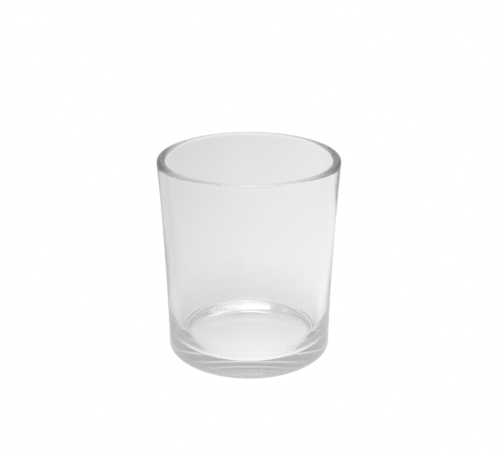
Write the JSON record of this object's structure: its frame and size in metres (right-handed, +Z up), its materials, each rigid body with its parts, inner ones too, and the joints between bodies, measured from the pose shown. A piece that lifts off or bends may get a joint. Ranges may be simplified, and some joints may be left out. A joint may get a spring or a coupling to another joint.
{
  "type": "tealight holder",
  "caption": "Clear glass tumbler with a thick base and a gently flared wall, open at the top, that holds a tealight on its flat floor.",
  "frame": {"origin": "centre of the foot, on the surface that the glass stands on", "axes": "+Z up the glass's axis, out of its mouth; the shape is round about +Z, so X and Y are any two directions across it"},
  "size_m": [0.0582, 0.0582, 0.065],
  "materials": {
    "glass": "clear, fire-polished soda-lime glass with a faint grey-green cast in the thick base"
  },
  "bodies": {
    "root": {"glass_cup": "glass"}
  },
  "joints": []
}
